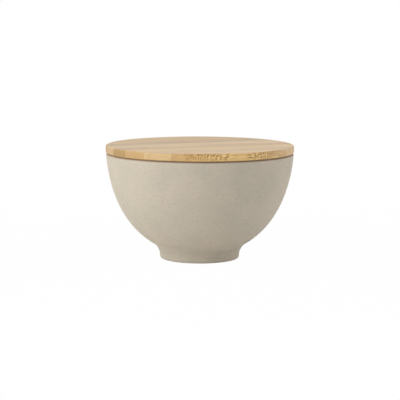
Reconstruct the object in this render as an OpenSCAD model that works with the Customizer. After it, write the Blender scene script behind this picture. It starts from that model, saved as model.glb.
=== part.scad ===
// Lidded bowl: a round stoneware bowl on a foot ring, and a flat lid glued up from bamboo strips.
// The lid has two plies. The upper one covers the rim, and the lower one is turned down to a plug
// that sits in the mouth and holds a finned silicone ring in a groove.
// The origin is the centre of the foot on the table. Z is up and the front is towards -Y.

/* [Bowl] */
// Outer diameter of the bowl at its rim
bowl_d = 149.8; // [135:0.1:165]
// Height of the bowl, from the table to the rim
bowl_h = 84.7; // [75:0.1:100]
// Thickness of the wall at the rim
rim_wall = 4.5; // [3.5:0.1:6]
// Thickness of the wall where the body meets the foot
base_wall = 6; // [4.5:0.1:8]
// Lean of the wall at the rim, in degrees from upright
rim_draft = 5.7; // [2:0.1:10]
// Lean of the wall where it meets the foot, in degrees from upright
body_slope = 58.8; // [52:0.1:62]
// Height of the straight band below the rim
rim_band = 4; // [3.6:0.1:8]
// Radius of the rim's two edges
lip_round = 1.5; // [0.5:0.1:1.6]

/* [Foot] */
// Outer diameter of the foot ring at the table
foot_d = 63.2; // [56:0.1:72]
// Height at which the lines of the body and the foot's side would meet
foot_h = 9.4; // [8.5:0.1:12]
// Lean of the foot's side, in degrees from upright
foot_draft = 4; // [0:0.5:8]
// Radius of the hollow curve between body and foot
foot_fillet = 12; // [5:0.5:13]
// Radius of the foot's outer edge
foot_round = 2; // [1:0.1:2.5]
// Width of the foot ring, with its rounded edges
foot_ring_w = 7; // [5:0.5:10]
// Radius of the foot's inner edge
foot_inner_round = 1.5; // [0.5:0.1:2]
// Depth of the recess under the bowl
foot_recess = 3.2; // [2:0.1:4]
// Lean of the recess's side, in degrees from upright
recess_draft = 10; // [0:1:20]
// Radius of the curve at the top of the recess
recess_fillet = 1.5; // [0.5:0.1:1.7]
// Thickness of the floor above the recess
floor_wall = 5.5; // [4.5:0.1:7]

/* [Lid board] */
// How far the lid reaches past the bowl's rim all round
lid_overhang = 0.1; // [0:0.1:3]
// Thickness of the upper ply, which shows above the rim
upper_ply_t = 6; // [4:0.1:9]
// Radius of the lid's top edge
top_round = 1.2; // [0.4:0.1:1.8]
// Radius of the lid's lower edge
under_round = 0.8; // [0.3:0.1:1.5]
// Gap between the rim and the upper ply
seat_gap = 0.3; // [0.2:0.05:0.8]
// Number of bamboo strips side by side in the upper ply
strip_count = 9; // [6:1:12]
// Width of the last strip at the back of the upper ply, where the others share the rest evenly
back_strip_w = 6; // [4:0.5:12]
// Direction of the grain, in degrees from X
grain_angle = 24; // [-90:1:90]
// How far the lower ply's glue lines are shifted from the upper ones
ply_shift = 8; // [4:0.5:12]

/* [Plug and sealing ring] */
// Thickness of the lower ply, which is the plug
plug_ply_t = 5.5; // [4.5:0.1:8]
// Room between the plug and the bowl's wall
plug_clear = 2.5; // [1.5:0.1:4]
// Radius of the plug's lower edge
plug_round = 0.8; // [0.3:0.1:1]
// Height of the sealing ring's band
seal_h = 3; // [2.4:0.1:3.3]
// Thickness of the sealing ring's band
seal_band_t = 2; // [1.2:0.1:3]
// Play between the band and its groove
seal_fit = 0.1; // [0.05:0.05:0.2]
// Number of fins on the sealing ring
fin_count = 3; // [2:1:3]
// Thickness of a fin at its root
fin_root_t = 0.7; // [0.5:0.05:0.75]
// Thickness of a fin at its tip
fin_tip_t = 0.35; // [0.2:0.05:0.45]
// How far a fin rises from root to tip
fin_rise = 0.5; // [0:0.1:0.8]
// Room between the fins and the bowl's wall
fin_clear = 0.3; // [0.2:0.05:0.5]

/* [Hidden] */
stoneware = "#cdc4b2";
silicone = "#ecebe6";
pale = "#dfc39a";
honey = "#d8b98c";
caramel = "#cfab7c";
// Bamboo of the strips, from front to back, taken again from the start where a ply has more of them
upper_tones = [honey, pale, honey, caramel, pale, caramel, honey, honey, pale];
plug_tones = [pale, honey, caramel, honey, pale, honey, caramel, pale];

// Shares of the chord that bend the body's curve, near the rim and near the foot
rim_fullness_share = 0.33;
foot_fullness_share = 0.37;
// Shares of the dish's radius that bend the floor's curve, near the wall and at the centre
dish_fullness_shares = [0.36, 0.36];
// Most that a rounded corner takes of the shorter edge beside it
corner_limit_share = 0.48;
// Most that the hollow curve over the foot takes of the foot's side
waist_limit_share = 0.7;
// Most that the plug's lower edge takes of the wood under the groove
lip_limit_share = 0.8;

cut_over = 1;
curve_steps = 28;
dish_steps = 14;
arc_steps = 6;
$fn = 144;

// One unit downwards, leaning towards the axis by so many degrees
function down(lean) = [-sin(lean), -cos(lean)];

// Square to a downward direction, pointing out of the bowl
function outwards(way) = [-way.y, way.x];

function unit(v) = v / norm(v);

function bezier(p, t) =
    pow(1 - t, 3) * p[0] + 3 * pow(1 - t, 2) * t * p[1] + 3 * (1 - t) * t * t * p[2] + pow(t, 3) * p[3];

function bezier_way(p, t) =
    unit(pow(1 - t, 2) * (p[1] - p[0]) + 2 * (1 - t) * t * (p[2] - p[1]) + t * t * (p[3] - p[2]));

// Arc that rounds a corner, tangent to the edges before and after it, the shorter way round
function corner_arc(before, corner, after, radius, limit_share = corner_limit_share) =
    let (
        u = unit(before - corner),
        v = unit(after - corner),
        half = acos(u * v) / 2,
        room = limit_share * min(norm(before - corner), norm(after - corner)),
        reach = min(radius / tan(half), room),
        r = reach * tan(half),
        centre = corner + unit(u + v) * r / sin(half),
        from = corner + u * reach - centre,
        to = corner + v * reach - centre,
        start = atan2(from.y, from.x),
        turn = (atan2(to.y, to.x) - start + 3 * 180) % 360 - 180
    )
    [for (i = [0 : arc_steps]) centre + r * [cos(start + turn * i / arc_steps), sin(start + turn * i / arc_steps)]];

// Outline of the bowl's outer wall
bowl_r = bowl_d / 2;
foot_r = foot_d / 2;
rim_corner = [bowl_r, bowl_h];
band_end = rim_corner + rim_band * down(rim_draft);
waist_corner = [foot_r + foot_h * tan(foot_draft), foot_h];
waist_run = min(foot_fillet * tan((body_slope - foot_draft) / 2), waist_limit_share * foot_h);
body_end = waist_corner - waist_run * down(body_slope);
body_chord = norm(band_end - body_end);
body_curve = [
    band_end,
    band_end + rim_fullness_share * body_chord * down(rim_draft),
    body_end - foot_fullness_share * body_chord * down(body_slope),
    body_end
];

// Inner wall: the outer one, moved in by a thickness that grows towards the foot
function wall_at(t) = rim_wall + (base_wall - rim_wall) * t;
function inner_point(t) = bezier(body_curve, t) - wall_at(t) * outwards(bezier_way(body_curve, t));
inner_rim = [bowl_r - rim_wall / cos(rim_draft), bowl_h];
inner_wall = [for (i = [0 : curve_steps]) inner_point(i / curve_steps)];

// Radius of the mouth at a height, before its edge is rounded
mouth_table = concat([[inner_rim.y, inner_rim.x]], [for (p = inner_wall) [p.y, p.x]]);
function mouth_r(z) = lookup(z, mouth_table);

// Floor of the dish, from the inner wall to the axis
floor_z = foot_recess + floor_wall;
dish_edge = inner_wall[curve_steps];
dish_curve = [
    dish_edge,
    dish_edge + dish_fullness_shares[0] * dish_edge.x * down(body_slope),
    [dish_fullness_shares[1] * dish_edge.x, floor_z],
    [0, floor_z]
];

// Foot ring and the recess inside it
foot_corner = [foot_r, 0];
ring_corner = [foot_r - foot_ring_w, 0];
recess_corner = [ring_corner.x - foot_recess * tan(recess_draft), foot_recess];
recess_centre = [0, foot_recess];

bowl_outline = concat(
    [for (i = [dish_steps : -1 : 1]) bezier(dish_curve, i / dish_steps)],
    [for (i = [curve_steps : -1 : 0]) inner_wall[i]],
    corner_arc(inner_wall[0], inner_rim, rim_corner, lip_round),
    corner_arc(inner_rim, rim_corner, band_end, lip_round),
    [for (i = [0 : curve_steps - 1]) bezier(body_curve, i / curve_steps)],
    corner_arc(body_end, waist_corner, foot_corner, foot_fillet, 1),
    corner_arc(waist_corner, foot_corner, ring_corner, foot_round, 1 - waist_limit_share),
    corner_arc(foot_corner, ring_corner, recess_corner, foot_inner_round),
    corner_arc(ring_corner, recess_corner, recess_centre, recess_fillet),
    [recess_centre]
);

// Heights and radii of the lid's two plies
lid_r = bowl_r + lid_overhang;
seat_z = bowl_h + seat_gap;
lid_top_z = seat_z + upper_ply_t;
plug_z = seat_z - plug_ply_t;
plug_r = mouth_r(plug_z) - plug_clear;

// The sealing ring's band lies flush with the plug, in a groove at mid-height of the lower ply
seal_z = seat_z - plug_ply_t / 2;
band_r = plug_r - seal_band_t;
groove_r = band_r - seal_fit;
groove_h = seal_h + 2 * seal_fit;
groove_lip = (plug_ply_t - groove_h) / 2;
fin_pitch = seal_h / fin_count;

// Glue lines, as distances from the axis square to the grain, from front to back
strip_w = (2 * lid_r - back_strip_w) / (strip_count - 1);
upper_joints = [for (i = [1 : strip_count - 1]) i * strip_w - lid_r];
plug_joints = [for (i = [0 : len(upper_joints) - 2]) upper_joints[i] + ply_shift];

// Strips of a ply as [low, high] distances from the axis, the outer two long past its edge
function strips(r, joints) =
    [for (i = [0 : len(joints)]) [
        i == 0 ? -r - cut_over : joints[i - 1],
        i == len(joints) ? r + cut_over : joints[i]
    ]];

upper_strips = strips(lid_r, upper_joints);
plug_strips = strips(plug_r, plug_joints);
upper_names = [for (i = [1 : len(upper_strips)]) str("lid_upper_strip_", i)];
plug_names = [for (i = [1 : len(plug_strips)]) str("lid_plug_strip_", i)];

module bowl() {
    color(stoneware) rotate_extrude() polygon(bowl_outline);
}

module upper_ply() {
    axis_top = [0, lid_top_z];
    top_corner = [lid_r, lid_top_z];
    under_corner = [lid_r, seat_z];
    axis_under = [0, seat_z];
    rotate_extrude() polygon(concat(
        [axis_under],
        corner_arc(axis_under, under_corner, top_corner, under_round),
        corner_arc(under_corner, top_corner, axis_top, top_round),
        [axis_top]
    ));
}

module plug_ply() {
    axis_under = [0, plug_z];
    edge_corner = [plug_r, plug_z];
    shoulder = [plug_r, seat_z];
    difference() {
        rotate_extrude() polygon(concat(
            [axis_under],
            corner_arc(axis_under, edge_corner, shoulder, min(plug_round, lip_limit_share * groove_lip)),
            [shoulder, [0, seat_z]]
        ));
        rotate_extrude() translate([groove_r, seal_z - groove_h / 2])
            square([plug_r - groove_r + cut_over, groove_h]);
    }
}

// Room that one strip takes in a ply, long enough to run past the lid on both sides
module strip_room(edges) {
    reach = lid_r + cut_over;
    height = lid_top_z - plug_z + 2 * cut_over;
    rotate([0, 0, grain_angle])
        translate([-reach, edges[0], plug_z - cut_over])
            cube([2 * reach, edges[1] - edges[0], height]);
}

module upper_strip(i) {
    color(upper_tones[i % len(upper_tones)]) intersection() {
        upper_ply();
        strip_room(upper_strips[i]);
    }
}

module plug_strip(i) {
    color(plug_tones[i % len(plug_tones)]) intersection() {
        plug_ply();
        strip_room(plug_strips[i]);
    }
}

// Outline of one fin, from its lower root round the tip to its upper root
function fin(i) =
    let (
        root_z = seal_z + (i - (fin_count - 1) / 2) * fin_pitch,
        tip_z = root_z + fin_rise,
        tip_r = mouth_r(tip_z - fin_tip_t / 2) - fin_clear
    )
    [
        [plug_r, root_z - fin_root_t / 2],
        [tip_r, tip_z - fin_tip_t / 2],
        [tip_r, tip_z + fin_tip_t / 2],
        [plug_r, root_z + fin_root_t / 2]
    ];

module sealing_ring() {
    color(silicone) rotate_extrude() polygon(concat(
        [[band_r, seal_z - seal_h / 2], [plug_r, seal_z - seal_h / 2]],
        [for (i = [0 : fin_count - 1]) for (p = fin(i)) p],
        [[plug_r, seal_z + seal_h / 2], [band_r, seal_z + seal_h / 2]]
    ));
}

bowl();
sealing_ring();
for (i = [0 : len(upper_strips) - 1]) upper_strip(i);
for (i = [0 : len(plug_strips) - 1]) plug_strip(i);
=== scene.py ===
"""Looks of a lidded bowl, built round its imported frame.

A matte stoneware bowl stands on a foot ring. Its lid is glued up from bamboo strips in two plies: the upper
one covers the rim, and the lower one is a plug that holds a finned silicone ring. Sizes are in millimetres,
and become metres when they reach a mesh. An outline runs through points of radius and height, with the solid
on its left.
"""

from __future__ import annotations

import logging
import math
from dataclasses import dataclass
from enum import Enum
from typing import Any, Mapping, Sequence, Union

import bpy
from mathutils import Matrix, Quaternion, Vector

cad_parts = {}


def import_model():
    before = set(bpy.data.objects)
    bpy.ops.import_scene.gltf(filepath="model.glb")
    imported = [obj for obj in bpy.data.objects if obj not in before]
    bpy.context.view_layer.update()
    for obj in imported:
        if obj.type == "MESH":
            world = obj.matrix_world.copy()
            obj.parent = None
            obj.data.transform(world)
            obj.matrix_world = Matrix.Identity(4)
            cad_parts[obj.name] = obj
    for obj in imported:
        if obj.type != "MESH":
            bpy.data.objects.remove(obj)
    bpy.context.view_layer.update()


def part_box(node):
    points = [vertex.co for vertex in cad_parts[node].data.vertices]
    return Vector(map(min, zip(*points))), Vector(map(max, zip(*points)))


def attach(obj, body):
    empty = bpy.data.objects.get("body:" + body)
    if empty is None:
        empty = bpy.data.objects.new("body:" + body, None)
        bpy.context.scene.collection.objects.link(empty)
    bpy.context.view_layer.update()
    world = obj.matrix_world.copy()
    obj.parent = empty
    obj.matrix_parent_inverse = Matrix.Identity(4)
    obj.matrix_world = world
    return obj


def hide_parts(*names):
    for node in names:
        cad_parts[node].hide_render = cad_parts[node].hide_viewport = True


log = logging.getLogger("lidded_bowl")

MM = 0.001
FULL_TURN = 2 * math.pi

Colour = tuple[float, ...]
Sizes = tuple[float, float, float]
Value = Union["Field", Sequence["Field"], Sequence[float], float, int, bool, bpy.types.ID]


def srgb(*levels: int) -> Colour:
    """Turns a colour as a screen shows it into the linear one that a shader takes.

    Args:
        levels: Its red, green and blue, from 0 to 255.

    Returns:
        The linear colour, with an alpha of 1.
    """
    toe, slope, offset, power = 0.04045, 12.92, 0.055, 2.4
    shares = (level / 255 for level in levels)
    linear = (s / slope if s <= toe else ((s + offset) / (1 + offset)) ** power for s in shares)
    return (*linear, 1.0)


WHITE = srgb(255, 255, 255)


def put(name: str, data: bpy.types.ID) -> bpy.types.Object:
    """Puts a mesh, a light or a camera in the scene.

    Args:
        name: The name of its object.
        data: The mesh, light or camera.

    Returns:
        The object.
    """
    item = bpy.data.objects.new(name, data)
    bpy.context.scene.collection.objects.link(item)
    return item


def seat(piece: bpy.types.Object, body: str, node: str) -> None:
    """Puts a finished piece in its solid's place, and says how well it fits.

    Args:
        piece: The finished piece.
        body: The body that it rides on.
        node: The solid that it replaces.
    """
    low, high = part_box(node)
    corners = [vertex.co for vertex in piece.data.vertices]
    found = [choose(corner[i] for corner in corners) for choose in (min, max) for i in range(3)]
    off = max(abs(a - b) for a, b in zip(found, (*low, *high)))
    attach(piece, body)
    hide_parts(node)
    log.info("%s: %d faces, box within %.2f mm of %s", piece.name, len(piece.data.polygons), off / MM, node)


class Field:
    """One output of a node tree, on which plain arithmetic adds Math nodes."""

    def __init__(self, canvas: Canvas, socket: bpy.types.NodeSocket) -> None:
        """Wraps an output socket of the canvas's tree."""
        self.canvas = canvas
        self.socket = socket

    def math(self, operation: str, *others: Value) -> Field:
        """Adds a Math node whose first input is this field, and gives its result."""
        return self.canvas.math(operation, self, *others)

    def __add__(self, other: Value) -> Field:
        """Adds."""
        return self.math("ADD", other)

    __radd__ = __add__

    def __sub__(self, other: Value) -> Field:
        """Subtracts."""
        return self.math("SUBTRACT", other)

    def __rsub__(self, other: Value) -> Field:
        """Subtracts this field from a number."""
        return self.canvas.math("SUBTRACT", other, self)

    def __mul__(self, other: Value) -> Field:
        """Multiplies."""
        return self.math("MULTIPLY", other)

    __rmul__ = __mul__

    def __truediv__(self, other: Value) -> Field:
        """Divides."""
        return self.math("DIVIDE", other)

    def __rtruediv__(self, other: Value) -> Field:
        """Divides a number by this field."""
        return self.canvas.math("DIVIDE", other, self)

    def __abs__(self) -> Field:
        """Drops the sign."""
        return self.math("ABSOLUTE")

    def rise(self, low: Value, high: Value) -> Field:
        """Goes smoothly from 0 at low to 1 at high, or falls from 1 to 0 where low is the greater one."""
        ends = {"Value": self, "From Min": low, "From Max": high}
        return self.canvas.node("ShaderNodeMapRange", {"interpolation_type": "SMOOTHSTEP"}, ends)

    def split(self, blur: float) -> Field:
        """Tells what is above 0 from what is below it, with a border that is soft by the blur each way."""
        return self.rise(-blur, blur)

    def above(self, least: float) -> Field:
        """Lifts a field that runs from 0 to 1, so that it runs from the least to 1."""
        return self * (1 - least) + least

    def part(self, name: str) -> Field:
        """Gives one component of a vector or colour: X, Y, Z, Red, Green or Blue."""
        kind = "ShaderNodeSeparateXYZ" if name in "XYZ" else "ShaderNodeSeparateColor"
        return self.canvas.node(kind, {}, {0: self}, name)


class Canvas:
    """A node tree in the making."""

    def __init__(self, tree: bpy.types.NodeTree) -> None:
        """Takes the tree that gets the nodes."""
        self.tree = tree

    def node(
        self,
        kind: str,
        settings: Mapping[str, Any] | None = None,
        inputs: Mapping[int | str, Value] | None = None,
        output: int | str = 0,
    ) -> Field:
        """Adds a node.

        Args:
            kind: The node's type.
            settings: Its properties, which are set first.
            inputs: Values or fields for its input sockets, by number, identifier or name.
            output: The output socket to give back, by number, identifier or name.

        Returns:
            The field of that output.
        """
        node = self.tree.nodes.new(kind)
        for name, setting in (settings or {}).items():
            setattr(node, name, setting)
        for key, value in (inputs or {}).items():
            self.feed(self.socket(node.inputs, key), value)
        return Field(self, self.socket(node.outputs, output))

    def feed(self, socket: bpy.types.NodeSocket, value: Value) -> None:
        """Gives an input socket its value, or links it.

        Args:
            socket: The input socket.
            value: A field or several fields to link, or a plain value.
        """
        if isinstance(value, Field):
            self.tree.links.new(value.socket, socket)
        elif socket.is_multi_input:
            for each in value:
                self.tree.links.new(each.socket, socket)
        else:
            socket.default_value = value

    def end(self, kind: str, result: Field) -> None:
        """Adds the tree's output node and feeds its first input."""
        self.feed(self.tree.nodes.new(kind).inputs[0], result)

    def math(self, operation: str, *values: Value) -> Field:
        """Adds a Math node on some values, and gives its result."""
        return self.node("ShaderNodeMath", {"operation": operation}, dict(enumerate(values)))

    def vector(self, x: Value, y: Value, z: Value) -> Field:
        """Joins three numbers into a vector."""
        return self.node("ShaderNodeCombineXYZ", {}, {0: x, 1: y, 2: z})

    def times(self, vector: Value, factor: Value) -> Field:
        """Multiplies all parts of a vector or colour by one number."""
        return self.node("ShaderNodeVectorMath", {"operation": "SCALE"}, {0: vector, "Scale": factor})

    def noise(self, place: Field, size: Value, detail: float, weight: float = 0.5) -> Field:
        """Adds clouds of a size in the place's own unit. They stray from 0, mostly by less than 0.25."""
        inputs = {"Vector": place, "Scale": 1 / size, "Detail": detail, "Roughness": weight}
        return self.node("ShaderNodeTexNoise", {}, inputs) - 0.5

    @staticmethod
    def socket(sockets: bpy.types.bpy_prop_collection, key: int | str) -> bpy.types.NodeSocket:
        """Finds a socket.

        Args:
            sockets: A node's inputs or outputs.
            key: The socket's number, identifier or name.

        Returns:
            The socket.
        """
        if isinstance(key, int):
            return sockets[key]
        return next((s for s in sockets if s.identifier == key), None) or sockets[key]


@dataclass(frozen=True)
class Pattern:
    """A cloudy pattern that strays to both sides of 0, and what it does to a surface.

    Attributes:
        sizes: How wide its clouds are along X, Y and Z, in millimetres.
        detail: How many finer layers it has.
        weight: How much the finer layers weigh.
        tone: How strongly it changes the brightness.
        relief: How far it raises the surface, in millimetres.
        dulling: How strongly it changes the roughness.
    """

    sizes: Sizes
    detail: float = 2.0
    weight: float = 0.5
    tone: float = 0.0
    relief: float = 0.0
    dulling: float = 0.0


class Spread(Enum):
    """How spots are scattered: all through a solid, or as rods that run along Z."""

    GRAINS = "3D"
    RODS = "2D"


@dataclass(frozen=True)
class Spots:
    """What a scatter of spots is like.

    Attributes:
        empty: Share of the cells that have none. Below 0, all have one, and the sizes differ less.
        grow: Radius of the greatest spot, in cells.
        soft: Width of a spot's soft edge, in cells.
        uneven: How far they stray from a grid, from 0 to 1.
        spread: How they are scattered.
    """

    empty: float = 0.6
    grow: float = 0.16
    soft: float = 0.06
    uneven: float = 1.0
    spread: Spread = Spread.GRAINS


class Paint(Canvas):
    """A material in the making, with its Principled shader."""

    def __init__(self, name: str, constants: Mapping[str, float]) -> None:
        """Starts a material.

        Args:
            name: The material's name.
            constants: Numbers that are the same all over the surface, by the shader socket's name.
        """
        self.material = bpy.data.materials.new(name)
        self.material.use_nodes = True
        super().__init__(self.material.node_tree)
        self.shader = self.tree.nodes["Principled BSDF"]
        for socket, number in constants.items():
            self.shader.inputs[socket].default_value = number

    def place(self, turn: float = 0.0, shift: Sequence[float] = (0.0, 0.0, 0.0)) -> Field:
        """Gives the surface's own place in millimetres.

        Args:
            turn: The direction that the pattern's X takes, in radians from the object's X.
            shift: Added after the turn, in millimetres.

        Returns:
            The turned and shifted place.
        """
        own = self.node("ShaderNodeTexCoord", {}, {}, "Object")
        inputs = {"Vector": own, "Scale": (1 / MM,) * 3, "Rotation": (0.0, 0.0, -turn), "Location": shift}
        return self.node("ShaderNodeMapping", {}, inputs)

    def stretched(self, place: Field, sizes: Sizes) -> Field:
        """Scales a place so that its unit is so many millimetres along X, Y and Z."""
        shares = tuple(1 / size for size in sizes)
        return self.node("ShaderNodeVectorMath", {"operation": "MULTIPLY"}, {0: place, 1: shares})

    def pattern(self, place: Field, kind: Pattern) -> Field:
        """Draws a cloudy pattern at a place in millimetres."""
        return self.noise(self.stretched(place, kind.sizes), 1.0, kind.detail, kind.weight)

    def spots(self, place: Field, kind: Spots) -> Field:
        """Scatters soft round spots of uneven size, at most one to the unit.

        Args:
            place: The point at which they are read.
            kind: What they are like.

        Returns:
            1 in a spot and 0 off it.
        """
        settings = {"voronoi_dimensions": kind.spread.value}
        inputs = {"Vector": place, "Scale": 1.0, "Randomness": kind.uneven}
        chance, distance = (
            self.node("ShaderNodeTexVoronoi", settings, inputs, output) for output in ("Color", "Distance")
        )
        radius = (chance.part("Red") - kind.empty) * (kind.grow / (1 - kind.empty))
        return (radius - distance).split(kind.soft / 2)

    def blend(self, share: Value, first: Value, second: Value) -> Field:
        """Mixes two colours, with the share that the second one has."""
        inputs = {"Factor_Float": share, "A_Color": first, "B_Color": second}
        return self.node("ShaderNodeMix", {"data_type": "RGBA"}, inputs, "Result_Color")

    def finish(self, colour: Field, roughness: Value, relief: Field) -> bpy.types.Material:
        """Joins the patterns to the shader.

        Args:
            colour: The base colour.
            roughness: The roughness.
            relief: The height of the surface's grain, in millimetres.

        Returns:
            The finished material.
        """
        bump = self.node("ShaderNodeBump", {}, {"Strength": 1.0, "Distance": MM, "Height": relief})
        for socket, value in {"Base Color": colour, "Roughness": roughness, "Normal": bump}.items():
            self.feed(self.shader.inputs[socket], value)
        return self.material


@dataclass(frozen=True)
class Fleck:
    """A scatter of small marks in the glaze.

    Attributes:
        sizes: The size of its cells along X, Y and Z, in millimetres.
        colour: What it turns the glaze to.
        strength: How much of that colour it takes.
        depth: How deep it is, in millimetres.
        spots: How it is scattered.
    """

    sizes: Sizes
    colour: Colour
    strength: float
    depth: float = 0.0
    spots: Spots = Spots()


@dataclass(frozen=True)
class Stoneware:
    """Matte glaze over grey-beige clay, with pits and flecks in it, and bare clay where the bowl stands.

    Attributes:
        foot_shade_heights: Height from which down the foot gets darker with painted shade, which stands for
            the shade under the body's overhang, and height from which down all of it is.
        bare_to: Height up to which the clay is bare.
        rim_seam_heights: Height from which the top of the rim gets painted shade in a brown, which stands for
            the shadow in the seam under the lid, and height from which it has all of it.
    """

    warm: Colour = srgb(196, 185, 168)
    cool: Colour = srgb(191, 182, 165)
    bare_clay: Colour = srgb(190, 166, 145)
    # The brown of the painted shade on the top of the rim, under the lid's seam
    rim_seam_shade: Colour = srgb(132, 104, 74)
    gloss: float = 0.3
    roughness: float = 0.74
    clouds: Pattern = Pattern((18.0, 18.0, 18.0))
    cloud_blur: float = 0.14
    mottle: Pattern = Pattern((3.4, 3.4, 1.5), 4.0, 0.65, tone=0.22, relief=0.05)
    grain: Pattern = Pattern((0.5, 0.5, 0.5), 3.0, 0.7, tone=0.2, relief=0.08, dulling=0.25)
    # Painted shade at the waist and foot, for the shade under the body's overhang
    foot_shade: float = 0.14
    foot_shade_heights: tuple[float, float] = (12.2, 8.4)
    bare_to: float = 0.5
    bare_dulling: float = 0.1
    # Painted shade on the top of the rim, for the shadow in the seam under the lid
    rim_seam_heights: tuple[float, float] = (83.3, 84.2)
    lip_share: float = 0.7
    flecks: tuple[Fleck, ...] = (
        Fleck((1.6, 1.6, 1.6), srgb(128, 112, 94), 0.4, spots=Spots(grow=0.22)),
        Fleck((2.0, 2.0, 2.0), srgb(226, 217, 200), 0.5, spots=Spots(grow=0.22)),
        Fleck((4.6, 4.6, 1.1), srgb(140, 126, 106), 0.4, 0.03, Spots(grow=0.24, soft=0.1)),
        Fleck((3.8, 3.8, 3.8), srgb(120, 104, 86), 0.45, 0.12, Spots(empty=0.75, grow=0.1)),
    )

    def material(self) -> bpy.types.Material:
        """Builds the stoneware.

        Returns:
            The material.
        """
        paint = Paint("stoneware_matte", {"Specular IOR Level": self.gloss})
        place = paint.place()
        height = place.part("Z")
        kinds = (self.clouds, self.mottle, self.grain)
        clouds, mottle, grain = (paint.pattern(place, kind) for kind in kinds)
        colour = paint.blend(clouds.split(self.cloud_blur), self.cool, self.warm)
        # Painted shade: darkens the glaze from the waist down, where the body's overhang shades the foot
        foot = height.rise(*self.foot_shade_heights) * self.foot_shade
        colour = paint.times(colour, 1 + mottle * self.mottle.tone + grain * self.grain.tone - foot)
        relief = mottle * self.mottle.relief + grain * self.grain.relief
        for fleck in self.flecks:
            marks = paint.spots(paint.stretched(place, fleck.sizes), fleck.spots)
            colour = paint.blend(marks * fleck.strength, colour, fleck.colour)
            relief = relief - marks * fleck.depth
        bare = height.rise(self.bare_to, self.bare_to / 2)
        colour = paint.blend(bare, colour, self.bare_clay)
        # Painted shade: a brown on the top of the rim, where the seam under the lid is in shadow
        colour = paint.blend(height.rise(*self.rim_seam_heights) * self.lip_share, colour, self.rim_seam_shade)
        roughness = self.roughness + grain * self.grain.dulling + bare * self.bare_dulling
        return paint.finish(colour, roughness, relief)


class Tone(Enum):
    """Shades of bamboo that the board mixes, named as in the record's material slots."""

    PALE = "bamboo_pale"
    HONEY = "bamboo_honey"
    CARAMEL = "bamboo_caramel"


@dataclass(frozen=True)
class BambooColours:
    """The colours of one shade of bamboo.

    Attributes:
        face: Along the fibres.
        streak: In its darker streaks.
        end: Across the fibres.
        bundle: In its bundles of vessels.
    """

    face: Colour
    streak: Colour
    end: Colour
    bundle: Colour


BAMBOO_COLOURS = {
    Tone.PALE: BambooColours(
        srgb(234, 202, 148), srgb(222, 187, 133), srgb(188, 157, 110), srgb(150, 112, 58)
    ),
    Tone.HONEY: BambooColours(
        srgb(237, 202, 135), srgb(222, 181, 115), srgb(182, 145, 94), srgb(128, 85, 28)
    ),
    Tone.CARAMEL: BambooColours(
        srgb(226, 191, 131), srgb(208, 169, 110), srgb(164, 129, 70), srgb(126, 88, 42)
    ),
}


@dataclass(frozen=True)
class Strip:
    """What sets one bamboo strip apart from the others.

    Attributes:
        tone: Its colours.
        sheen: How bright its flat faces are, where 1 is as its colours say.
        bundles: How dark its bundles of vessels are.
        knuckle: Where it crosses a knuckle of the cane, along the grain from the lid's middle.
        bare_edge: Width along its back edge in which the cane has no bundles. Below 0, all of it has some.
    """

    tone: Tone
    sheen: float = 1.0
    bundles: float = 0.15
    knuckle: float = 200.0
    bare_edge: float = -2.0


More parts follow.
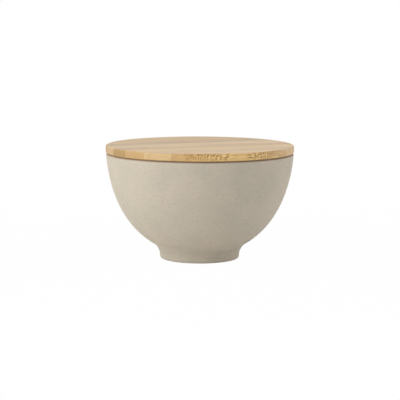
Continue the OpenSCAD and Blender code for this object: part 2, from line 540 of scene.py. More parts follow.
@dataclass(frozen=True)
class Bamboo:
    """The wood of one strip: long fibres, bundles of vessels, at times a knuckle, and glue along its sides.

    Its patterns have their X along the grain. Its flat faces get a painted sheen of pale pinkish white, and
    the lower edge of its rounded sides gets painted shade in the glue's brown, which stands for the shadow in
    the seam above the bowl's rim.

    Attributes:
        strip: What sets the strip apart.
        near: Where its front side is, as a distance from the lid's axis square to the grain.
        far: Where its back side is.
        base: The height of its underside, which was the inside of the cane.
        grain: The direction of the grain, in radians from X.
        seed: Moves the pattern, so that no two strips share one.
        flat_range: How squarely a face looks up or down where it starts to count as flat, and where it does.
        bare_end: How much the bare edge has of the colour across the fibres.
        bundle_least: The share of a bundle that shows everywhere.
        end_range: How squarely the fibres are cut where bundles start to be dots, and where they are.
        inside: Height above the underside in which the bundles get darker.
    """

    strip: Strip
    near: float
    far: float
    base: float
    grain: float
    seed: int
    seed_step: Sizes = (67.0, 23.0, 41.0)
    gloss: float = 0.5
    roughness: float = 0.48
    sway: Pattern = Pattern((34.0, 7.0, 7.0), tone=0.18)
    bands: Pattern = Pattern((60.0, 2.8, 2.8), 3.0, 0.6)
    band_blur: float = 0.13
    broad: Pattern = Pattern((58.0, 7.0, 7.0), tone=0.4)
    fibres: Pattern = Pattern((24.0, 0.5, 0.5), 3.0, 0.65, tone=0.2, relief=0.05, dulling=0.2)
    # Painted sheen: a pale pinkish white mixed into the flat faces, for the sheen that they catch
    painted_sheen: Colour = srgb(222, 199, 184)
    painted_sheen_share: float = 0.3
    flat_range: tuple[float, float] = (0.6, 0.95)
    # The glue's brown, for the glue lines along the sides and for the painted shade along the lower edge
    glue_and_edge_shade: Colour = srgb(150, 112, 62)
    glue_line: float = 0.14
    glue_share: float = 0.45
    glue_dip: float = 0.04
    bundle_sizes: tuple[float, float] = (0.66, 1.05)
    bundle_spots: Spots = Spots(empty=-1.6, grow=0.4, soft=0.2, uneven=0.5, spread=Spread.RODS)
    bundle_sway: float = 2.0
    bundle_least: float = 0.2
    bundle_dip: float = 0.02
    bundle_dulling: float = 0.1
    end_range: tuple[float, float] = (0.02, 0.16)
    inside: float = 2.6
    bare_blur: float = 1.0
    bare_end: float = 0.35
    # Painted shade along the lower edge of the rounded sides, for the shadow in the seam above the bowl's rim
    lower_edge_shade_height: float = 1.1
    lower_edge_shade_share: float = 0.7
    knuckle_width: float = 1.8
    knuckle_sway: float = 6.0
    knuckle_tone: float = 0.1
    knuckle_dip: float = 0.03

    def material(self, name: str) -> bpy.types.Material:
        """Builds the strip's own bamboo.

        Args:
            name: The material's name.

        Returns:
            The material.
        """
        colours = BAMBOO_COLOURS[self.strip.tone]
        paint = Paint(name, {"Specular IOR Level": self.gloss})
        place = paint.place(self.grain)
        cane = paint.place(self.grain, tuple(step * self.seed for step in self.seed_step))
        kinds = (self.sway, self.bands, self.broad, self.fibres)
        sway, bands, broad, fibres = (paint.pattern(cane, kind) for kind in kinds)
        normal = paint.node("ShaderNodeTexCoord", {}, {}, "Normal")
        end = self._end(paint, normal)
        flat = abs(normal.part("Z")).rise(*self.flat_range)
        along, across, height = (place.part(axis) for axis in "XYZ")
        bare_from = self.far - self.strip.bare_edge
        bare = across.rise(bare_from - self.bare_blur, bare_from + self.bare_blur)
        outside = height.rise(self.base, self.base + self.inside)
        bundles = self._bundles(paint, cane, sway, end) * (1 - bare) * outside.above(self.bundle_least)
        knuckle = abs(along - self.strip.knuckle + sway * self.knuckle_sway).rise(self.knuckle_width, 0.0)
        half = (self.far - self.near) / 2
        side = abs(across - (self.near + self.far) / 2).rise(half - self.glue_line, half)
        # Painted shade: marks the lower edge of the rounded sides
        lower_edge_shade = height.rise(self.base + self.lower_edge_shade_height, self.base) * (1 - flat)
        colour = paint.blend(bands.split(self.band_blur), colours.face, colours.streak)
        colour = paint.blend(end * end + bare * self.bare_end, colour, colours.end)
        # Painted sheen on the flat faces
        colour = paint.blend(flat * self.painted_sheen_share, colour, self.painted_sheen)
        sheen = flat * (self.strip.sheen - 1 + broad * self.broad.tone)
        figure = fibres * self.fibres.tone + sway * self.sway.tone - knuckle * self.knuckle_tone
        colour = paint.times(colour, 1 + sheen + figure)
        colour = paint.blend(bundles * self.strip.bundles, colour, colours.bundle)
        colour = paint.blend(side * self.glue_share, colour, self.glue_and_edge_shade)
        # Painted shade in the glue's brown along the lower edge
        colour = paint.blend(lower_edge_shade * self.lower_edge_shade_share, colour, self.glue_and_edge_shade)
        dips = bundles * self.bundle_dip + knuckle * self.knuckle_dip + side * self.glue_dip
        roughness = self.roughness + fibres * self.fibres.dulling + bundles * self.bundle_dulling
        return paint.finish(colour, roughness, fibres * self.fibres.relief - dips)

    def _end(self, paint: Paint, normal: Field) -> Field:
        """Tells how squarely the surface cuts the fibres: 1 across them and 0 along them."""
        inputs = {0: normal, 1: (math.cos(self.grain), math.sin(self.grain), 0.0)}
        return abs(paint.node("ShaderNodeVectorMath", {"operation": "DOT_PRODUCT"}, inputs, "Value"))

    def _bundles(self, paint: Paint, cane: Field, sway: Field, end: Field) -> Field:
        """Draws the bundles of vessels, which are dots across the grain and faint lines along it.

        Args:
            paint: The material in the making.
            cane: The place in the cane, with X along the grain.
            sway: What bends the fibres.
            end: How squarely the surface cuts them.

        Returns:
            1 in a bundle and 0 off it.
        """
        wide, high = self.bundle_sizes
        column = (cane.part("Y") + sway * self.bundle_sway) / wide
        rods = paint.vector(column, (cane.part("Z") + sway) / high + column / 2, 0.0)
        return paint.spots(rods, self.bundle_spots) * end.rise(*self.end_range).above(self.bundle_least)


@dataclass(frozen=True)
class Silicone:
    """Soft whitish silicone, with a fine moulded skin. Light goes a little way into it."""

    body: Colour = srgb(236, 234, 228)
    thin: Colour = srgb(224, 222, 214)
    light_share: float = 0.2
    light_depth: float = 2.0
    roughness: float = 0.42
    clouds: Pattern = Pattern((9.0, 9.0, 9.0))
    cloud_blur: float = 0.15
    skin: Pattern = Pattern((0.5, 0.5, 0.5), relief=0.01, dulling=0.2)

    def material(self) -> bpy.types.Material:
        """Builds the silicone.

        Returns:
            The material.
        """
        soft = {"Subsurface Weight": self.light_share, "Subsurface Scale": self.light_depth * MM}
        paint = Paint("silicone_soft", soft)
        clouds, skin = (paint.pattern(paint.place(), kind) for kind in (self.clouds, self.skin))
        colour = paint.blend(clouds.split(self.cloud_blur), self.thin, self.body)
        return paint.finish(colour, self.roughness + skin * self.skin.dulling, skin * self.skin.relief)


class TurningTree(Canvas):
    """A Geometry Nodes tree that turns an outline round the Z axis, and goes on from there.

    Attributes:
        INPUTS: The kinds of the inputs that every such tree has.
        WELD: Distance below which points become one, in millimetres.
    """

    INPUTS = {"Outline": "Geometry", "Points": "Int", "Segments": "Int", "Material": "Material"}
    WELD = 0.002

    def __init__(self, name: str, numbers: Sequence[str] = ()) -> None:
        """Starts the tree and turns the outline.

        Args:
            name: The tree's name.
            numbers: The names of its further inputs, which are plain numbers.
        """
        super().__init__(bpy.data.node_groups.new(name, "GeometryNodeTree"))
        face = self.tree.interface
        for title, kind in {**self.INPUTS, **dict.fromkeys(numbers, "Float")}.items():
            face.new_socket(title, in_out="INPUT", socket_type=f"NodeSocket{kind}")
        face.new_socket("Mesh", in_out="OUTPUT", socket_type="NodeSocketGeometry")
        self.entry = self.tree.nodes.new("NodeGroupInput")
        self.turned = self._turned()

    def given(self, name: str) -> Field:
        """Gives one of the tree's inputs."""
        return Field(self, self.entry.outputs[name])

    def _turned(self) -> Field:
        """Rolls a grid round the axis, one row of it to each point of the outline.

        Returns:
            The turned mesh, closed at its seam and poles.
        """
        rows, columns = self.given("Points"), self.given("Segments") + 1
        sizes = {"Size X": 1.0, "Size Y": 1.0, "Vertices X": columns, "Vertices Y": rows}
        grid = self.node("GeometryNodeMeshGrid", {}, sizes, "Mesh")
        place = self.node("GeometryNodeInputPosition")
        # The grid is one unit wide with the origin in its middle, so half a unit makes its places start at 0
        row = ((place.part("Y") + 0.5) * (rows - 1)).math("ROUND")
        turn = (place.part("X") + 0.5) * FULL_TURN
        read = {"Geometry": self.given("Outline"), "Value": place, "Index": row}
        point = self.node("GeometryNodeSampleIndex", {"data_type": "FLOAT_VECTOR"}, read)
        radius, height = point.part("X"), point.part("Z")
        rolled = self.vector(radius * turn.math("COSINE"), radius * turn.math("SINE"), height)
        wrapped = self.node("GeometryNodeSetPosition", {}, {"Geometry": grid, "Position": rolled})
        weld = {"Geometry": wrapped, "Distance": self.WELD * MM}
        return self.node("GeometryNodeMergeByDistance", {}, weld)

    def close(self, mesh: Field) -> None:
        """Ends the tree.

        Args:
            mesh: The geometry that it gives.
        """
        real = self.node("GeometryNodeRealizeInstances", {}, {"Geometry": mesh})
        dressed = {"Geometry": real, "Material": self.given("Material")}
        self.end("NodeGroupOutput", self.node("GeometryNodeSetMaterial", {}, dressed))

    def grow(self, name: str, outline: Sequence[Vector], values: Mapping[str, Value]) -> bpy.types.Object:
        """Runs the tree on an outline and keeps the result as a plain mesh.

        Args:
            name: The piece's name.
            outline: The outline's points, in millimetres.
            values: The tree's named inputs, in metres where they are lengths.

        Returns:
            The piece, with its modifier removed.
        """
        chain = bpy.data.meshes.new(name)
        corners = [(p.x * MM, 0.0, p.y * MM) for p in outline]
        chain.from_pydata(corners, [(i, i + 1) for i in range(len(corners) - 1)], [])
        piece = put(name, chain)
        modifier = piece.modifiers.new(self.tree.name, "NODES")
        modifier.node_group = self.tree
        for title, value in {"Points": len(corners), **values}.items():
            modifier[self.entry.outputs[title].identifier] = value
        depsgraph = bpy.context.evaluated_depsgraph_get()
        mesh = bpy.data.meshes.new_from_object(piece.evaluated_get(depsgraph), depsgraph=depsgraph)
        piece.modifiers.clear()
        piece.data = mesh
        bpy.data.meshes.remove(chain)
        mesh.name = name
        return piece


class ThrownTree(TurningTree):
    """Leaves the faint rings and the sway of work on the wheel on a turned body."""

    def __init__(self) -> None:
        """Builds the tree."""
        lengths = ("Ring depth", "Ring pitch", "Sway", "Sway size", "Marked from", "Marked to", "Fade")
        super().__init__("thrown_body", lengths)
        place = self.node("GeometryNodeInputPosition")
        x, y, height = (place.part(axis) for axis in "XYZ")
        reach = (x * x + y * y).math("SQRT") + height
        turns = reach / self.given("Ring pitch") + y.math("ARCTAN2", x) / FULL_TURN
        rings = (turns * FULL_TURN).math("SINE")
        sway = self.noise(place, self.given("Sway size"), 1.0)
        fade, low, high = (self.given(name) for name in ("Fade", "Marked from", "Marked to"))
        shown = height.rise(low, low + fade) * height.rise(high, high - fade)
        depth = (rings * (sway + 0.5) * self.given("Ring depth") + sway * self.given("Sway")) * shown
        offset = self.times(self.node("GeometryNodeInputNormal"), depth)
        marked = self.node("GeometryNodeSetPosition", {}, {"Geometry": self.turned, "Offset": offset})
        self.close(self.node("GeometryNodeSetShadeSmooth", {}, {"Geometry": marked}))


class MouldedTree(TurningTree):
    """Leaves a turned body as smooth as its mould."""

    def __init__(self) -> None:
        """Builds the tree."""
        super().__init__("moulded_ring")
        self.close(self.node("GeometryNodeSetShadeSmooth", {}, {"Geometry": self.turned}))


class StripTree(TurningTree):
    """Cuts one strip out of a turned ply, between two glue lines."""

    def __init__(self) -> None:
        """Builds the tree."""
        sizes = ("Near", "Far", "Reach", "Grain", "Sharp from")
        super().__init__("board_strip", sizes)
        near, far, reach, grain, sharp_from = (self.given(name) for name in sizes)
        size = self.vector(reach * 2, far - near, reach * 2)
        slab = self.node("GeometryNodeMeshCube", {}, {"Size": size}, "Mesh")
        middle = (near + far) / 2
        centre = self.vector(grain.math("SINE") * middle * -1, grain.math("COSINE") * middle, reach)
        laid = {"Geometry": slab, "Translation": centre, "Rotation": self.vector(0.0, 0.0, grain)}
        room = self.node("GeometryNodeTransform", {}, laid)
        shared = {"operation": "INTERSECT", "solver": "EXACT"}
        cut = self.node("GeometryNodeMeshBoolean", shared, {"Mesh 2": [self.turned, room]}, "Mesh")
        smooth = self.node("GeometryNodeSetShadeSmooth", {}, {"Geometry": cut})
        angle = self.node("GeometryNodeInputMeshEdgeAngle")
        sharp = self.node("FunctionNodeCompare", {}, {"A": angle, "B": sharp_from})
        creased = {"Geometry": smooth, "Selection": sharp, "Shade Smooth": False}
        self.close(self.node("GeometryNodeSetShadeSmooth", {"domain": "EDGE"}, creased))


def down(lean: float) -> Vector:
    """Gives one unit downwards in an outline, leaning towards the axis by so many degrees."""
    return Vector((-math.sin(math.radians(lean)), -math.cos(math.radians(lean))))


@dataclass(frozen=True)
class Corner:
    """A corner of an outline.

    Attributes:
        x: How far from the axis it would be if it were sharp.
        y: How high it would be.
        radius: What rounds it.
        share: Most that the rounding takes of the shorter edge beside it.
    """

    x: float
    y: float
    radius: float = 0.0
    share: float = 0.48

    @property
    def place(self) -> Vector:
        """Where it would be if it were sharp."""
        return Vector((self.x, self.y))

    def arc(self, before: Vector, after: Vector, steps: int) -> list[Vector]:
        """Rounds the corner.

        Args:
            before: The sharp corner before it.
            after: The sharp corner after it.
            steps: The number of steps in its arc.

        Returns:
            The arc's points, from the edge before it to the edge after it.
        """
        place = self.place
        if not self.radius:
            return [place]
        back, ahead = before - place, after - place
        u, v = back.normalized(), ahead.normalized()
        half = u.angle(v) / 2
        reach = min(self.radius / math.tan(half), self.share * min(back.length, ahead.length))
        radius = reach * math.tan(half)
        centre = place + (u + v).normalized() * radius / math.sin(half)
        start, end = place + u * reach - centre, place + v * reach - centre
        first = math.atan2(start.y, start.x)
        turn = (math.atan2(end.y, end.x) - first + math.pi) % FULL_TURN - math.pi
        angles = (first + turn * i / steps for i in range(steps + 1))
        return [centre + radius * Vector((math.cos(a), math.sin(a))) for a in angles]


def rounded(corners: Sequence[Corner], closed: bool = False, steps: int = 8) -> list[Vector]:
    """Rounds the corners of an outline.

    Args:
        corners: The corners in order.
        closed: Whether the last one leads back to the first.
        steps: The number of steps in each arc.

    Returns:
        The outline's points. A closed outline ends where it starts.
    """
    places = [corner.place for corner in corners]
    points: list[Vector] = []
    for i, corner in enumerate(corners):
        points += corner.arc(places[i - 1], places[(i + 1) % len(places)], steps)
    return points + points[:1] if closed else points


def spread(points: Sequence[Vector], step: float) -> list[Vector]:
    """Cuts the long edges of an outline into even steps, and drops points that are there twice.

    Args:
        points: The outline.
        step: The longest edge that stays whole.

    Returns:
        The outline with its new points.
    """
    same = 1e-4
    dense = [points[0]]
    for point in points[1:]:
        start = dense[-1]
        length = (point - start).length
        if length > same:
            cuts = math.ceil(length / step)
            dense += [start.lerp(point, i / cuts) for i in range(1, cuts + 1)]
    return dense


@dataclass(frozen=True)
class Sweep:
    """A curve in an outline, bent by two pulls between its ends."""

    start: Vector
    first_pull: Vector
    second_pull: Vector
    end: Vector

    def point(self, t: float) -> Vector:
        """Finds a point of the curve.

        Args:
            t: How far along it is, from 0 at the start to 1 at the end.

        Returns:
            The point.
        """
        s = 1 - t
        near = self.start * s**3 + self.first_pull * 3 * s * s * t
        return near + self.second_pull * 3 * s * t * t + self.end * t**3

    def way(self, t: float) -> Vector:
        """Finds the direction in which the curve goes.

        Args:
            t: How far along it is asked for, from 0 to 1.

        Returns:
            The direction, one unit long.
        """
        s = 1 - t
        near = (self.first_pull - self.start) * s * s + (self.second_pull - self.first_pull) * 2 * s * t
        return (near + (self.end - self.second_pull) * t * t).normalized()

    def run(self, steps: int) -> list[Vector]:
        """Gives even steps along the curve, from its start to its end."""
        return [self.point(i / steps) for i in range(steps + 1)]


@dataclass(frozen=True)
class StonewareBowl:
    """The bowl: a thrown wall that leans in to a foot ring, in one piece.

    Drafts and slopes are in degrees from upright. A fullness is how far a curve's pull reaches, as a share of
    the curve's span. The wheel's marks show from marked_from to marked_to, and come and go within fade.
    """

    rim_d: float = 149.8
    height: float = 84.7
    rim_wall: float = 4.5
    base_wall: float = 6.0
    rim_draft: float = 5.7
    body_slope: float = 58.8
    rim_band: float = 4.0
    lip_round: float = 1.5
    foot_d: float = 63.2
    foot_h: float = 9.4
    foot_draft: float = 4.0
    foot_fillet: float = 12.0
    foot_round: float = 2.0
    foot_ring_w: float = 7.0
    foot_inner_round: float = 1.5
    foot_recess: float = 3.2
    recess_draft: float = 10.0
    recess_fillet: float = 1.5
    floor_wall: float = 5.5
    rim_fullness: float = 0.33
    foot_fullness: float = 0.37
    dish_fullness: float = 0.36
    waist_share: float = 0.7
    wall_steps: int = 84
    dish_steps: int = 36
    segments: int = 256
    longest_step: float = 1.6
    ring_depth: float = 0.045
    ring_pitch: float = 4.6
    sway: float = 0.22
    sway_size: float = 26.0
    marked_from: float = 5.0
    marked_to: float = 83.0
    fade: float = 7.0

    @property
    def rim_corner(self) -> Vector:
        """The rim's outer corner, before it is rounded."""
        return Vector((self.rim_d / 2, self.height))

    @property
    def mouth_corner(self) -> Vector:
        """The rim's inner corner, before it is rounded."""
        return self.rim_corner - Vector((self.rim_wall / math.cos(math.radians(self.rim_draft)), 0))

    @property
    def waist_corner(self) -> Vector:
        """The corner between the body and the foot's side, before it is rounded."""
        return Vector((self.foot_d / 2 + self.foot_h * math.tan(math.radians(self.foot_draft)), self.foot_h))

    def body(self) -> Sweep:
        """Shapes the outer wall.

        Returns:
            The curve from the band below the rim to the waist above the foot.
        """
        top = self.rim_corner + down(self.rim_draft) * self.rim_band
        opening = math.radians(self.body_slope - self.foot_draft) / 2
        run = min(self.foot_fillet * math.tan(opening), self.waist_share * self.foot_h)
        end = self.waist_corner - down(self.body_slope) * run
        chord = (top - end).length
        first = top + down(self.rim_draft) * self.rim_fullness * chord
        second = end - down(self.body_slope) * self.foot_fullness * chord
        return Sweep(top, first, second, end)

    def inner_wall(self) -> list[Vector]:
        """Moves the outer wall in by a thickness that grows towards the foot.

        Returns:
            The inner wall, from the rim down.
        """
        body, points = self.body(), []
        for i in range(self.wall_steps + 1):
            t = i / self.wall_steps
            way = body.way(t)
            wall = self.rim_wall + (self.base_wall - self.rim_wall) * t
            points.append(body.point(t) - Vector((-way.y, way.x)) * wall)
        return points

    def mouth_radius(self, height: float) -> float:
        """Finds how wide the mouth is.

        Args:
            height: The height at which it is asked for, in the upper half of the bowl.

        Returns:
            The mouth's radius there.
        """
        wall = [self.mouth_corner, *self.inner_wall()]
        above, below = next(edge for edge in zip(wall, wall[1:]) if edge[1].y <= height)
        return above.lerp(below, (above.y - height) / (above.y - below.y)).x

    def outline(self) -> list[Vector]:
        """Draws half of the bowl's cross-section.

        Returns:
            The outline, from the middle of the recess round the rim to the middle of the dish.
        """
        body, inner = self.body(), self.inner_wall()
        ring = self.foot_d / 2 - self.foot_ring_w
        recess = ring - self.foot_recess * math.tan(math.radians(self.recess_draft))
        foot = [
            Corner(0, self.foot_recess),
            Corner(recess, self.foot_recess, self.recess_fillet),
            Corner(ring, 0, self.foot_inner_round),
            Corner(self.foot_d / 2, 0, self.foot_round, 1 - self.waist_share),
            Corner(*self.waist_corner, self.foot_fillet, 1.0),
            Corner(*body.end),
        ]
        rim = [
            Corner(*body.start),
            Corner(*self.rim_corner, self.lip_round),
            Corner(*self.mouth_corner, self.lip_round),
            Corner(*inner[0]),
        ]
        floor = self.foot_recess + self.floor_wall
        edge = inner[-1]
        pull = self.dish_fullness * edge.x
        dish = Sweep(edge, edge + down(self.body_slope) * pull, Vector((pull, floor)), Vector((0, floor)))
        outer = reversed(body.run(self.wall_steps))
        points = [*rounded(foot), *outer, *rounded(rim), *inner, *dish.run(self.dish_steps)]
        return spread(points, self.longest_step)

    def build(self) -> None:
        """Builds the bowl round its solid."""
        values = {
            "Segments": self.segments,
            "Material": Stoneware().material(),
            "Ring depth": self.ring_depth * MM,
            "Ring pitch": self.ring_pitch * MM,
            "Sway": self.sway * MM,
            "Sway size": self.sway_size * MM,
            "Marked from": self.marked_from * MM,
            "Marked to": self.marked_to * MM,
            "Fade": self.fade * MM,
        }
        piece = ThrownTree().grow("stoneware_bowl", self.outline(), values)
        seat(piece, "bowl", "bowl")


@dataclass(frozen=True)
class Ply:
    """One layer of the board.

    Attributes:
        name: What its pieces and solids are called.
        seed: The first strip's seed. The others count on from it.
        radius: Its radius.
        outline: Half of its cross-section, from the middle of its underside.
        joints: Its glue lines, as distances from the axis square to the grain.
        strips: Its strips, from front to back.
        past: How far the outermost sides lie past the radius, so that they cut nothing off.
    """

    name: str
    seed: int
    radius: float
    outline: list[Vector]
    joints: list[float]
    strips: tuple[Strip, ...]
    past: float = 1.0

    def sides(self, index: int) -> list[float]:
        """Gives a strip's front and back side, as distances from the axis square to the grain."""
        edges = [-self.radius - self.past, *self.joints, self.radius + self.past]
        return edges[index : index + 2]


@dataclass(frozen=True)
class BambooLid:
    """The lid board: two plies of bamboo strips, glued side by side and turned round.

    Attributes:
        bowl: The bowl that it covers.
        overhang: How far it reaches past the bowl's rim.
        seat_gap: The seam between the rim and the upper ply.
        back_strip_w: Width of the upper ply's last strip. The others are equally wide.
        ply_shift: How far the plug's glue lines lie behind the upper ones.
        plug_clear: How far the plug stays off the bowl's wall.
        lip_share: Most that the plug's rounding takes of the lip below its groove.
        seal_fit: How far the groove's faces stay off the sealing ring.
    """

    bowl: StonewareBowl
    overhang: float = 0.1
    upper_t: float = 6.0
    top_round: float = 1.2
    under_round: float = 0.8
    seat_gap: float = 0.3
    strip_count: int = 9
    back_strip_w: float = 6.0
    grain_degrees: float = 24.0
    ply_shift: float = 8.0
    plug_t: float = 5.5
    plug_clear: float = 2.5
    plug_round: float = 0.8
    lip_share: float = 0.8
    seal_h: float = 3.0
    seal_band_t: float = 2.0
    seal_fit: float = 0.1
    upper_seed: int = 50
    plug_seed: int = 40
    segments: int = 192
    longest_step: float = 6.0
    sharp_degrees: float = 35.0
    upper_strips: tuple[Strip, ...] = (
        Strip(Tone.HONEY, 1.11, bundles=0.95, bare_edge=5.0),
        Strip(Tone.PALE, 0.99, knuckle=-34.0),
        Strip(Tone.HONEY, 1.05, knuckle=47.0),
        Strip(Tone.CARAMEL, 0.99, bundles=0.3, knuckle=-52.0),
        Strip(Tone.PALE, 1.02),
        Strip(Tone.CARAMEL, 0.88, knuckle=18.0),
        Strip(Tone.HONEY, 0.92, bundles=0.3),
        Strip(Tone.HONEY, 0.89, knuckle=-20.0),
        Strip(Tone.PALE, 0.96),
    )
    plug_strips: tuple[Strip, ...] = (
        Strip(Tone.PALE),
        Strip(Tone.HONEY, bundles=0.5, knuckle=22.0),
        Strip(Tone.CARAMEL, bundles=0.3),
        Strip(Tone.HONEY, knuckle=-40.0),
        Strip(Tone.PALE, bundles=0.3),
        Strip(Tone.HONEY),
        Strip(Tone.CARAMEL, bundles=0.4, knuckle=9.0),
        Strip(Tone.PALE),
    )

    @property
    def seat_z(self) -> float:
        """The height of the upper ply's underside."""
        return self.bowl.height + self.seat_gap

    @property
    def plug_radius(self) -> float:
        """The radius of the plug."""
        return self.bowl.mouth_radius(self.seat_z - self.plug_t) - self.plug_clear

    def upper_ply(self) -> Ply:
        """Lays out the ply that covers the rim.

        Returns:
            The upper ply.
        """
        radius, top = self.bowl.rim_d / 2 + self.overhang, self.seat_z + self.upper_t
        width = (2 * radius - self.back_strip_w) / (self.strip_count - 1)
        corners = [
            Corner(0, self.seat_z),
            Corner(radius, self.seat_z, self.under_round),
            Corner(radius, top, self.top_round),
            Corner(0, top),
        ]
        joints = [i * width - radius for i in range(1, self.strip_count)]
        outline = spread(rounded(corners), self.longest_step)
        return Ply("upper", self.upper_seed, radius, outline, joints, self.upper_strips)

    def plug_ply(self) -> Ply:
        """Lays out the ply that fills the mouth, with its groove.

        Returns:
            The lower ply.
        """
        radius, bottom = self.plug_radius, self.seat_z - self.plug_t
        groove = radius - self.seal_band_t - self.seal_fit
        lip = (self.plug_t - self.seal_h) / 2 - self.seal_fit
        corners = [
            Corner(0, bottom),
            Corner(radius, bottom, min(self.plug_round, self.lip_share * lip)),
            Corner(radius, bottom + lip),
            Corner(groove, bottom + lip),
            Corner(groove, self.seat_z - lip),
            Corner(radius, self.seat_z - lip),
            Corner(radius, self.seat_z),
            Corner(0, self.seat_z),
        ]
        joints = [joint + self.ply_shift for joint in self.upper_ply().joints[:-1]]
        outline = spread(rounded(corners), self.longest_step)
        return Ply("plug", self.plug_seed, radius, outline, joints, self.plug_strips)

    def build(self) -> None:
        """Builds every strip round its solid."""
        tree = StripTree()
        for ply in (self.upper_ply(), self.plug_ply()):
            for index in range(len(ply.strips)):
                self._strip(tree, ply, index)

    def _strip(self, tree: StripTree, ply: Ply, index: int) -> None:
        """Builds one strip round its solid.

        Args:
            tree: What cuts it.
            ply: The ply that it is in.
            index: Its place in the ply, from 0 at the front.
        """
        name, strip = f"bamboo_{ply.name}_{index + 1}", ply.strips[index]
        near, far = ply.sides(index)
        grain = math.radians(self.grain_degrees)
        wood = Bamboo(strip, near, far, ply.outline[0].y, grain, ply.seed + index)
        values = {
            "Segments": self.segments,
            "Material": wood.material(name),
            "Near": near * MM,
            "Far": far * MM,
            "Reach": 2 * self.bowl.height * MM,
            "Grain": grain,
            "Sharp from": math.radians(self.sharp_degrees),
        }
        piece = tree.grow(name, ply.outline, values)
        seat(piece, "lid", f"lid_{ply.name}_strip_{index + 1}")


@dataclass(frozen=True)
class SealingRing:
    """The silicone ring: a band in the plug's groove, with thin fins that reach for the bowl's wall.

    A fin is root_t thick at the band and tip_t at its tip, which is higher by rise and stays off the wall.
    """

    lid: BambooLid
    fins: int = 3
    root_t: float = 0.7
    tip_t: float = 0.35
    rise: float = 0.5
    clear: float = 0.3
    band_round: float = 0.25
    root_round: float = 0.12
    tip_round: float = 0.16
    arc_steps: int = 4
    segments: int = 224

    def outline(self) -> list[Vector]:
        """Draws the ring's cross-section.

        Returns:
            The closed outline.
        """
        lid = self.lid
        outer, middle = lid.plug_radius, lid.seat_z - lid.plug_t / 2
        inner, low, high = outer - lid.seal_band_t, middle - lid.seal_h / 2, middle + lid.seal_h / 2
        corners = [Corner(inner, low, self.band_round), Corner(outer, low, self.root_round)]
        for i in range(self.fins):
            root = middle + (i - (self.fins - 1) / 2) * lid.seal_h / self.fins
            tip = root + self.rise
            reach = lid.bowl.mouth_radius(tip - self.tip_t / 2) - self.clear
            corners += [
                Corner(outer, root - self.root_t / 2, self.root_round),
                Corner(reach, tip - self.tip_t / 2, self.tip_round),
                Corner(reach, tip + self.tip_t / 2, self.tip_round),
                Corner(outer, root + self.root_t / 2, self.root_round),
            ]
        corners += [Corner(outer, high, self.root_round), Corner(inner, high, self.band_round)]
        return rounded(corners, closed=True, steps=self.arc_steps)

    def build(self) -> None:
        """Builds the ring round its solid."""
        values = {"Segments": self.segments, "Material": Silicone().material()}
        piece = MouldedTree().grow("silicone_ring", self.outline(), values)
        seat(piece, "lid", "sealing_ring")


@dataclass(frozen=True)
class Lamp:
    """A square soft light that hangs on a sphere round the object.

    Attributes:
        name: Its name.
        azimuth: Its direction, in degrees from straight before the object to its right.
        elevation: Its height, in degrees above the object's middle.
        power: Its power, in watts.
        distance: How far off it hangs, in metres.
        size: The length of its side, in metres.
    """

    name: str
    azimuth: float
    elevation: float
    power: float
    distance: float = 1.7
    size: float = 0.9

    def hang(self, aim: Vector) -> None:
        """Hangs the lamp.

        Args:
            aim: The point that it hangs round and is turned to.
        """
        turn, rise = math.radians(self.azimuth), math.radians(self.elevation)
        way = Vector((math.sin(turn) * math.cos(rise), -math.cos(turn) * math.cos(rise), math.sin(rise)))
        light = bpy.data.lights.new(self.name, "AREA")
        light.size, light.energy = self.size, self.power
        lamp = put(self.name, light)
        lamp.location = aim + way * self.distance
        lamp.rotation_mode = "QUATERNION"
        lamp.rotation_quaternion = (-way).to_track_quat("-Z", "Y")


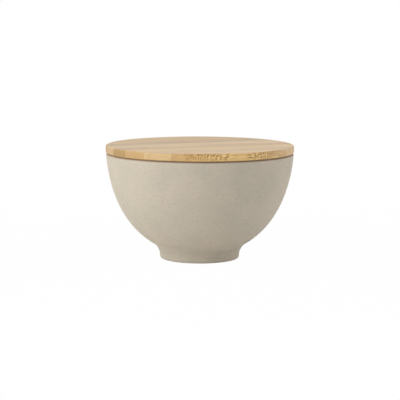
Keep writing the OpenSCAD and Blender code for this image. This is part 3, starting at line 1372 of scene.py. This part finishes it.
@dataclass(frozen=True)
class Studio:
    """A pale floor that runs into a white background, soft lamps, and the photograph's camera.

    Places and distances are in metres, the lens and the sensor in millimetres, and the roll in degrees.

    Attributes:
        ambient: The even light from all round, where 1 is white.
        floor_grey: How bright the floor's paint is.
        floor_glow: How much of the floor is the background's own white close to the object.
        glow_from: Distance from the axis up to which the floor stays so.
        glow_to: Distance from which it is all background.
        floor_drop: How far the floor lies below the foot.
    """

    camera_place: Sizes = (0.00024, -1.25, 0.209)
    camera_aim: Sizes = (0.00024, 0.0, 0.04648)
    camera_roll: float = 0.2
    lens: float = 141.6
    sensor: float = 36.0
    ambient: float = 0.42
    floor_grey: float = 0.97
    floor_glow: float = 0.98
    glow_from: float = 0.12
    glow_to: float = 0.6
    floor_radius: float = 4.0
    floor_drop: float = 0.0002
    floor_sides: int = 96
    lamps: tuple[Lamp, ...] = (
        Lamp("left_back", -110.0, 8.0, 5.4),
        Lamp("left", -75.0, 8.0, 8.2),
        Lamp("left_front", -45.0, 8.0, 5.8),
        Lamp("high_front", -45.0, 40.0, 6.3),
        Lamp("front", 15.0, 8.0, 1.7),
        Lamp("right", 75.0, 22.0, 2.1),
        Lamp("right_back", 110.0, 8.0, 8.0),
    )

    def build(self) -> None:
        """Sets the scene."""
        aim = Vector(self.camera_aim)
        self._camera(aim)
        self._world()
        self._floor()
        for lamp in self.lamps:
            lamp.hang(aim)
        bpy.context.scene.view_settings.view_transform = "Standard"
        log.info("studio: %d lamps", len(self.lamps))

    def _camera(self, aim: Vector) -> None:
        """Puts the camera where the photograph was taken from.

        Args:
            aim: What it looks at.
        """
        lens = bpy.data.cameras.new("camera")
        lens.lens, lens.sensor_width = self.lens, self.sensor
        camera = put("camera", lens)
        camera.location = self.camera_place
        camera.rotation_mode = "QUATERNION"
        level = (aim - camera.location).to_track_quat("-Z", "Y")
        camera.rotation_quaternion = level @ Quaternion((0, 0, 1), math.radians(self.camera_roll))
        bpy.context.scene.camera = camera

    @staticmethod
    def _seen(canvas: Canvas) -> Field:
        """Tells the rays that show the background from those that light the object.

        Args:
            canvas: The tree that asks.

        Returns:
            1 on camera, glossy and transmission rays, and 0 on the others.
        """
        kinds = ("Is Camera Ray", "Is Glossy Ray", "Is Transmission Ray")
        camera, glossy, through = (canvas.node("ShaderNodeLightPath", {}, {}, kind) for kind in kinds)
        return camera.math("MAXIMUM", glossy).math("MAXIMUM", through)

    def _world(self) -> None:
        """Makes a white background that lights the object less than it shows."""
        world = bpy.data.worlds.new("studio")
        world.use_nodes = True
        world.node_tree.nodes.clear()
        bpy.context.scene.world = world
        sky = Canvas(world.node_tree)
        lights, shows = (
            sky.node("ShaderNodeBackground", {}, {"Color": WHITE, "Strength": strength})
            for strength in (self.ambient, 1.0)
        )
        both = sky.node("ShaderNodeMixShader", {}, {0: self._seen(sky), 1: lights, 2: shows})
        sky.end("ShaderNodeOutputWorld", both)

    def _floor(self) -> None:
        """Lays a pale floor that keeps the object's shadow and turns white farther off."""
        radius, height = self.floor_radius, -self.floor_drop
        turns = [FULL_TURN * i / self.floor_sides for i in range(self.floor_sides)]
        points = [(radius * math.cos(turn), radius * math.sin(turn), height) for turn in turns]
        mesh = bpy.data.meshes.new("floor")
        mesh.from_pydata(points, [], [list(range(self.floor_sides))])
        mesh.materials.append(self._floor_paint())
        floor = put("floor", mesh)

    def _floor_paint(self) -> bpy.types.Material:
        """Builds the floor's paint.

        Returns:
            The material.
        """
        material = bpy.data.materials.new("floor_paint")
        material.use_nodes = True
        material.node_tree.nodes.clear()
        paint = Canvas(material.node_tree)
        place = paint.node("ShaderNodeTexCoord", {}, {}, "Object")
        distance = paint.node("ShaderNodeVectorMath", {"operation": "LENGTH"}, {0: place}, "Value")
        glow = distance.rise(self.glow_from, self.glow_to).above(self.floor_glow)
        grey = (*(self.floor_grey,) * 3, 1.0)
        plain = paint.node("ShaderNodeBsdfDiffuse", {}, {"Color": grey})
        white = paint.node("ShaderNodeEmission", {}, {"Color": WHITE, "Strength": 1.0})
        both = paint.node("ShaderNodeMixShader", {}, {0: self._seen(paint) * glow, 1: plain, 2: white})
        paint.end("ShaderNodeOutputMaterial", both)
        return material


def main() -> None:
    """Builds the studio, the bowl, the lid board and the sealing ring."""
    logging.basicConfig(level=logging.INFO, format="%(name)s: %(message)s")
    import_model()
    Studio().build()
    bowl = StonewareBowl()
    bowl.build()
    lid = BambooLid(bowl)
    lid.build()
    SealingRing(lid).build()


if __name__ == "__main__":
    main()
